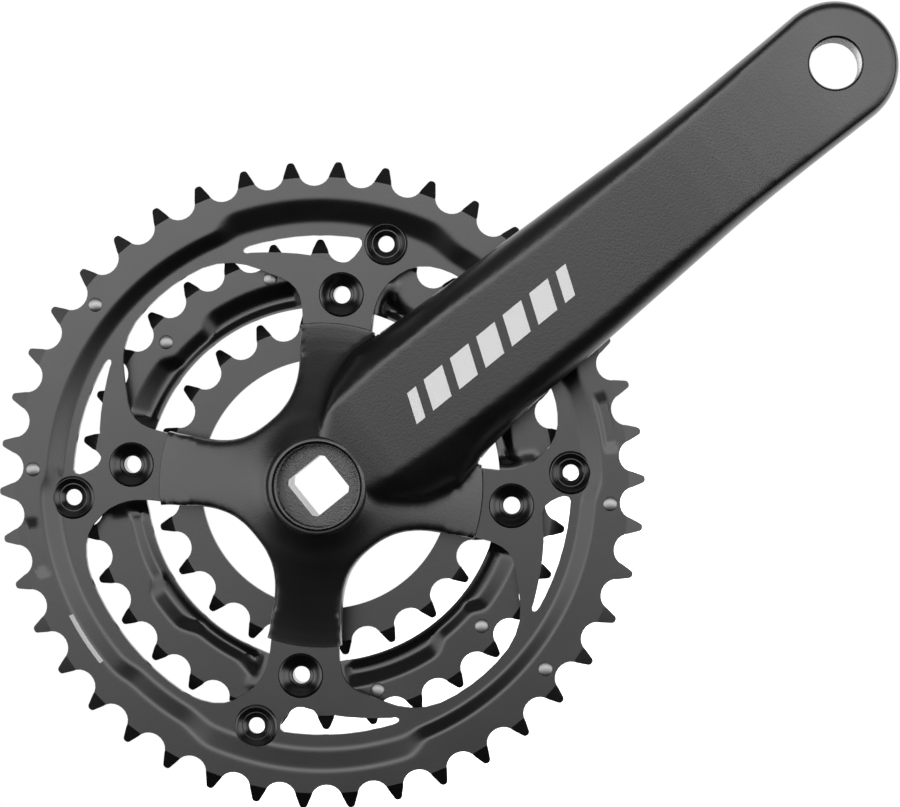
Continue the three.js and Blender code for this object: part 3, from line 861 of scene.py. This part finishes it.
def make_grain():
    """Coat grain: a bump height, and a roughness that wanders a little."""
    settings = (("Scale", 1800), ("Base", 0.45), ("Spread", 0.1))
    group, given, made = new_group("coat_grain", settings, ("Height", "Roughness"))
    nodes, links = group.nodes, group.links
    place = nodes.new("ShaderNodeTexCoord")
    fine = nodes.new("ShaderNodeTexNoise")
    broad = nodes.new("ShaderNodeTexNoise")
    broad.inputs["Scale"].default_value = 60
    broad.inputs["Detail"].default_value = 3
    fine.inputs["Detail"].default_value = 4
    spread = nodes.new("ShaderNodeMapRange")
    low = nodes.new("ShaderNodeMath")
    low.operation = "SUBTRACT"
    high = nodes.new("ShaderNodeMath")
    high.operation = "ADD"
    links.new(place.outputs["Object"], fine.inputs["Vector"])
    links.new(place.outputs["Object"], broad.inputs["Vector"])
    links.new(given.outputs["Scale"], fine.inputs["Scale"])
    for node in (low, high):
        links.new(given.outputs["Base"], node.inputs[0])
        links.new(given.outputs["Spread"], node.inputs[1])
    links.new(broad.outputs["Fac"], spread.inputs["Value"])
    links.new(low.outputs[0], spread.inputs["To Min"])
    links.new(high.outputs[0], spread.inputs["To Max"])
    links.new(fine.outputs["Fac"], made.inputs["Height"])
    links.new(spread.outputs["Result"], made.inputs["Roughness"])
    return group


def make_scuffs():
    """Thin handling marks: a mask that is high on a few short streaks."""
    group, given, made = new_group("scuffs", (("Scale", 120), ("Amount", 0.5)), ("Mask",))
    nodes, links = group.nodes, group.links
    place = nodes.new("ShaderNodeTexCoord")
    stretch = nodes.new("ShaderNodeMapping")
    stretch.inputs["Scale"].default_value = (0.25, 1, 1.6)
    stretch.inputs["Rotation"].default_value = (0, 0.5, 0)
    streaks = nodes.new("ShaderNodeTexNoise")
    streaks.inputs["Detail"].default_value = 8
    streaks.inputs["Roughness"].default_value = 0.7
    cut = nodes.new("ShaderNodeMapRange")
    cut.inputs["From Min"].default_value = 0.62
    cut.inputs["From Max"].default_value = 0.8
    links.new(place.outputs["Object"], stretch.inputs["Vector"])
    links.new(stretch.outputs["Vector"], streaks.inputs["Vector"])
    links.new(given.outputs["Scale"], streaks.inputs["Scale"])
    links.new(streaks.outputs["Fac"], cut.inputs["Value"])
    links.new(given.outputs["Amount"], cut.inputs["To Max"])
    links.new(cut.outputs["Result"], made.inputs["Mask"])
    return group


GRAIN = make_grain()
SCUFFS = make_scuffs()
print("effects", GRAIN.name, SCUFFS.name)


# %% [markdown]
# A coated finish is a dark base under a soft gloss. The grain drives the bump and the roughness, and the
# scuffs lift the colour slightly where the coat is rubbed.

# %% Coated finishes
def use_group(material, group, **values):
    node = material.node_tree.nodes.new("ShaderNodeGroup")
    node.node_tree = group
    for label, value in values.items():
        node.inputs[label].default_value = value
    return node


def new_material(name):
    material = bpy.data.materials.new(name)
    material.use_nodes = True
    return material, material.node_tree.nodes["Principled BSDF"]


def mix_colour(material, mask, first, second):
    """A colour node that goes from first to second as the mask rises."""
    mix = material.node_tree.nodes.new("ShaderNodeMix")
    mix.data_type = "RGBA"
    mix.inputs["A"].default_value = (*first, 1)
    mix.inputs["B"].default_value = (*second, 1)
    material.node_tree.links.new(mask, mix.inputs["Factor"])
    return mix.outputs["Result"]


def coated(name, colour, rubbed, roughness, spread, grain_scale, grain_depth, specular):
    material, surface = new_material(name)
    links = material.node_tree.links
    grain = use_group(material, GRAIN, Scale=grain_scale, Base=roughness, Spread=spread)
    scuffs = use_group(material, SCUFFS, Scale=140, Amount=0.5)
    bump = material.node_tree.nodes.new("ShaderNodeBump")
    bump.inputs["Strength"].default_value = 1
    bump.inputs["Distance"].default_value = grain_depth * MM
    surface.inputs["Specular IOR Level"].default_value = specular
    links.new(grain.outputs["Height"], bump.inputs["Height"])
    links.new(bump.outputs["Normal"], surface.inputs["Normal"])
    links.new(grain.outputs["Roughness"], surface.inputs["Roughness"])
    links.new(mix_colour(material, scuffs.outputs["Mask"], colour, rubbed), surface.inputs["Base Color"])
    return material


BLACK, RUBBED_BLACK = (0.0014, 0.0014, 0.0015), (0.006, 0.006, 0.006)
RIVET_BLACK, RUBBED_RIVET = (0.0012, 0.0012, 0.0013), (0.005, 0.005, 0.005)
ARM_PAINT = coated("satin_black_paint", BLACK, RUBBED_BLACK, 0.34, 0.05, 1700, 0.03, 0.6)
RING_COAT = coated("black_ring_coat", BLACK, RUBBED_BLACK, 0.26, 0.04, 1500, 0.008, 0.5)
RIVET_COAT = coated("black_rivet_coat", RIVET_BLACK, RUBBED_RIVET, 0.24, 0.03, 1500, 0.003, 0.5)
print("coats", ARM_PAINT.name, RING_COAT.name, RIVET_COAT.name)


# %% [markdown]
# The real arm and outer ring carry pad-printed marks. Ink from a pad is far thinner than the coat's grain,
# so it changes only the colour. Plain slanted bars on the arm and a plain dash on the ring stand in for the
# marks. A few sums on the place of a point say where the ink is.

# %% Printed marks
def combine(nodes, links, operation, first, second):
    """One sum of two values, each a number or the output of another node."""
    node = nodes.new("ShaderNodeMath")
    node.operation = operation
    for index, value in enumerate((first, second)):
        if isinstance(value, (int, float)):
            node.inputs[index].default_value = value
        else:
            links.new(value, node.inputs[index])
    return node.outputs[0]


def between(nodes, links, value, low, high):
    """1 where a value lies between two limits, 0 elsewhere."""
    above = combine(nodes, links, "GREATER_THAN", value, low)
    return combine(nodes, links, "MULTIPLY", above, combine(nodes, links, "LESS_THAN", value, high))


def where(nodes, links):
    """The three coordinates of a point on the piece."""
    place = nodes.new("ShaderNodeTexCoord")
    split = nodes.new("ShaderNodeSeparateXYZ")
    links.new(place.outputs["Object"], split.inputs["Vector"])
    return split.outputs["X"], split.outputs["Y"], split.outputs["Z"]


def product(nodes, links, first, *others):
    for other in others:
        first = combine(nodes, links, "MULTIPLY", first, other)
    return first


STRIPE_ROW = (33, 87)
STRIPE_PITCH = 9
STRIPE_GAP = 0.3
STRIPE_HALF_HEIGHT = 4
DASH_SWEEP = 0.2
DASH_RADII = (76, 77.2)


def arm_stripes(nodes, links):
    """Slanted bars in a row along the arm's flat face."""
    x, y, z = where(nodes, links)
    slanted = combine(nodes, links, "SUBTRACT", x, combine(nodes, links, "MULTIPLY", z, 0.4))
    row = between(nodes, links, slanted, STRIPE_ROW[0] * MM, STRIPE_ROW[1] * MM)
    step = combine(nodes, links, "FRACT", combine(nodes, links, "DIVIDE", slanted, STRIPE_PITCH * MM), 0)
    bars = combine(nodes, links, "GREATER_THAN", step, STRIPE_GAP)
    tall = between(nodes, links, z, -STRIPE_HALF_HEIGHT * MM, STRIPE_HALF_HEIGHT * MM)
    ahead = combine(nodes, links, "LESS_THAN", y, -32 * MM)
    return product(nodes, links, row, bars, tall, ahead)


def ring_dash(nodes, links):
    """A thin dash that follows the rim, opposite the arm."""
    x, y, z = where(nodes, links)
    away = combine(nodes, links, "MULTIPLY", x, -1)
    swept = between(nodes, links, combine(nodes, links, "ARCTAN2", z, away), 0, DASH_SWEEP)
    squares = [combine(nodes, links, "MULTIPLY", side, side) for side in (x, z)]
    reach = combine(nodes, links, "POWER", combine(nodes, links, "ADD", *squares), 0.5)
    on_rim = between(nodes, links, reach, DASH_RADII[0] * MM, DASH_RADII[1] * MM)
    ahead = combine(nodes, links, "LESS_THAN", y, (OUTER_FRONT + 1) * MM)
    return product(nodes, links, swept, ahead, on_rim)


def print_on(material, mark, ink):
    """Lays pad-printed ink over a coat's colour."""
    nodes, links = material.node_tree.nodes, material.node_tree.links
    base = nodes["Principled BSDF"].inputs["Base Color"]
    coat = base.links[0].from_socket
    mix = nodes.new("ShaderNodeMix")
    mix.data_type = "RGBA"
    mix.inputs["B"].default_value = (*ink, 1)
    links.new(coat, mix.inputs["A"])
    links.new(mark(nodes, links), mix.inputs["Factor"])
    links.new(mix.outputs["Result"], base)


print_on(ARM_PAINT, arm_stripes, (0.5, 0.5, 0.5))
print_on(RING_COAT, ring_dash, (0.3, 0.3, 0.3))
print("ink on", ARM_PAINT.name, "and", RING_COAT.name)


# %% [markdown]
# Bare metal shows in the pedal hole, in the hub's bore and on the shift pins. It is metallic, with the
# grain giving it a slightly broken gloss. The bore is greasy, so it is darker and patchy.

# %% Bare metal
def bare_metal(name, colour, stain, roughness, grain_depth):
    material, surface = new_material(name)
    links = material.node_tree.links
    grain = use_group(material, GRAIN, Scale=2600, Base=roughness, Spread=0.12)
    stains = use_group(material, SCUFFS, Scale=260, Amount=1.0)
    bump = material.node_tree.nodes.new("ShaderNodeBump")
    bump.inputs["Strength"].default_value = 1
    bump.inputs["Distance"].default_value = grain_depth * MM
    surface.inputs["Metallic"].default_value = 1
    links.new(grain.outputs["Height"], bump.inputs["Height"])
    links.new(bump.outputs["Normal"], surface.inputs["Normal"])
    links.new(grain.outputs["Roughness"], surface.inputs["Roughness"])
    links.new(mix_colour(material, stains.outputs["Mask"], colour, stain), surface.inputs["Base Color"])
    return material


PEDAL_BORE = bare_metal("machined_aluminium", (0.42, 0.42, 0.43), (0.3, 0.3, 0.3), 0.4, 0.008)
HUB_BORE = bare_metal("greasy_bore", (0.05, 0.05, 0.05), (0.004, 0.004, 0.004), 0.3, 0.12)
PIN_STEEL = bare_metal("bright_steel", (0.22, 0.22, 0.223), (0.14, 0.14, 0.14), 0.42, 0.006)
print("metals", PEDAL_BORE.name, HUB_BORE.name, PIN_STEEL.name)


# %% [markdown]
# The finish of a face on the crank arm depends on where it is: the walls of the two bores were cut after
# painting, so they are bare.

# %% Finishes on pieces
def paint(piece, *materials):
    piece.data.materials.clear()
    for material in materials:
        piece.data.materials.append(material)


def bare_the_bores(piece):
    for face in piece.data.polygons:
        centre = face.center / MM
        face.material_index = 0
        if math.hypot(centre.x - CRANK_LENGTH, centre.z) < 7.1 and centre.y > EYE_FRONT + 0.55:
            face.material_index = 1
        elif math.hypot(centre.x, centre.z) < 11.6 and centre.y > HUB_FRONT + 0.1:
            face.material_index = 2


paint(forging, ARM_PAINT, PEDAL_BORE, HUB_BORE)
bare_the_bores(forging)
for ring in (outer_ring, middle_ring, inner_ring):
    paint(ring, RING_COAT)
for piece, node in rivets + eyelets:
    paint(piece, RIVET_COAT)
for piece, node in pins:
    paint(piece, PIN_STEEL)
print("painted")


# %% [markdown]
# Each piece rides on the one body, and the frame's part for the node that it stands for is hidden.

# %% Pieces to the frame
outer_ring.name = "outer-chainring"
middle_ring.name = "middle-chainring"
inner_ring.name = "inner-chainring"
forging.name = "crank-arm"
fitted = [(forging, "crank_arm", "arm_paint"), (outer_ring, "outer_chainring", "ring_coat"),
          (middle_ring, "middle_chainring", "ring_coat"), (inner_ring, "inner_chainring", "ring_coat")]
fitted += [(piece, node, "rivet_black") for piece, node in rivets + eyelets]
fitted += [(piece, node, "pin_steel") for piece, node in pins]
for piece, node, finish in fitted:
    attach(piece, "root")
    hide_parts(node)
print(len(fitted), "pieces fitted")


# %% [markdown]
# The studio is white all round. A wide soft light hangs behind the camera, broader than it is tall, so a
# face that leans up or down turns dark and one that leans sideways stays lit. It is painted on the world,
# by the direction that a ray leaves in. The floor is a pale sheet that only the camera sees.

# %% Studio
RISE = math.radians(38.9)
VIEW_RIGHT = Vector((math.cos(RISE), 0, -math.sin(RISE)))
VIEW_UP = Vector((math.sin(RISE), 0, math.cos(RISE)))
VIEW_AHEAD = Vector((0, 1, 0))


def lies_along(nodes, links, direction, axis):
    """How far a ray's direction lies along an axis, from -1 to 1."""
    dot = nodes.new("ShaderNodeVectorMath")
    dot.operation = "DOT_PRODUCT"
    dot.inputs[1].default_value = axis
    links.new(direction, dot.inputs[0])
    return dot.outputs["Value"]


def eased(nodes, links, value, low, high):
    """A value turned into a soft step, 0 at low and 1 at high."""
    ease = nodes.new("ShaderNodeMapRange")
    ease.interpolation_type = "SMOOTHSTEP"
    ease.inputs["From Min"].default_value = low
    ease.inputs["From Max"].default_value = high
    links.new(value, ease.inputs["Value"])
    return ease.outputs["Result"]


BANK_STRENGTH = 5.2
SIDE_DIMMING = 0.4
REAR_STRENGTH = 1.5
CEILING_STRENGTH = 0.4
AMBIENT = 0.01


def make_world():
    """Lights the object from the world, and shows the camera plain white."""
    world = bpy.data.worlds.new("studio")
    world.use_nodes = True
    nodes, links = world.node_tree.nodes, world.node_tree.links
    background = nodes["Background"]
    direction = nodes.new("ShaderNodeTexCoord").outputs["Generated"]
    upward = lies_along(nodes, links, direction, VIEW_UP)
    sideways = combine(nodes, links, "ABSOLUTE", lies_along(nodes, links, direction, VIEW_RIGHT), 0)
    outward = lies_along(nodes, links, direction, -VIEW_AHEAD)

    # The bank in front: it fades at its top, below an arched lower edge, and a little to the sides.
    bank = eased(nodes, links, outward, 0.0, 0.35)
    top_edge = combine(nodes, links, "SUBTRACT", 1, eased(nodes, links, upward, 0.2, 0.5))
    arch = combine(nodes, links, "ADD", upward, combine(nodes, links, "MULTIPLY", sideways, 0.5))
    low_edge = eased(nodes, links, arch, -0.14, 0.2)
    dimming = combine(nodes, links, "MULTIPLY", SIDE_DIMMING, eased(nodes, links, sideways, 0.2, 0.55))
    side_fade = combine(nodes, links, "SUBTRACT", 1, dimming)
    for mask in (top_edge, low_edge, side_fade):
        bank = combine(nodes, links, "MULTIPLY", bank, mask)

    behind = combine(nodes, links, "SUBTRACT", 1, eased(nodes, links, outward, -0.6, -0.15))
    ceiling = eased(nodes, links, upward, 0.55, 0.95)
    light = combine(nodes, links, "MULTIPLY", bank, BANK_STRENGTH)
    for lamp, strength in ((behind, REAR_STRENGTH), (ceiling, CEILING_STRENGTH)):
        light = combine(nodes, links, "ADD", light, combine(nodes, links, "MULTIPLY", lamp, strength))
    light = combine(nodes, links, "ADD", light, AMBIENT)
    seen = nodes.new("ShaderNodeLightPath").outputs["Is Camera Ray"]
    mix = nodes.new("ShaderNodeMix")
    mix.inputs["B"].default_value = 1.0
    links.new(seen, mix.inputs["Factor"])
    links.new(light, mix.inputs["A"])
    links.new(mix.outputs["Result"], background.inputs["Strength"])
    background.inputs["Color"].default_value = (1, 1, 1, 1)
    bpy.context.scene.world = world


def make_floor():
    bm = bmesh.new()
    bmesh.ops.create_grid(bm, x_segments=1, y_segments=1, size=3)
    bmesh.ops.translate(bm, verts=bm.verts, vec=(0, 0, CAD_BOX[0][2] - 0.004))
    mesh = bpy.data.meshes.new("floor")
    bm.to_mesh(mesh)
    bm.free()
    floor = new_object("floor", mesh)
    material, surface = new_material("pale_floor")
    surface.inputs["Base Color"].default_value = (0.9, 0.9, 0.9, 1)
    surface.inputs["Emission Color"].default_value = (1, 1, 1, 1)
    surface.inputs["Emission Strength"].default_value = 1.0
    mesh.materials.append(material)
    floor.visible_diffuse = False
    floor.visible_glossy = False
    floor.visible_shadow = False


make_world()
make_floor()
bpy.context.scene.view_settings.view_transform = "Standard"
print("studio ready")


# %% [markdown]
# The camera stands about 0.8 m in front of the rings with a long lens, and it is rolled so that the arm
# rises to the right.

# %% Camera
DISTANCE = 807.5
AIM = Vector((41.2, OUTER_FRONT + 1, -4.8))
STAND = Vector((68.9, OUTER_FRONT + 1 - DISTANCE, -27.9))
ahead = (AIM - STAND).normalized()
right = ahead.cross(VIEW_UP).normalized()
upright = right.cross(ahead)
camera_data = bpy.data.cameras.new("camera")
camera_data.sensor_width = 36
camera_data.lens = 119.5
camera_data.clip_start = 0.05
camera = bpy.data.objects.new("camera", camera_data)
bpy.context.scene.collection.objects.link(camera)
turn = Matrix((right, upright, -ahead)).transposed().to_4x4()
camera.matrix_world = Matrix.Translation(STAND * MM) @ turn
bpy.context.scene.camera = camera
print("camera at", tuple(round(value, 3) for value in camera.location))
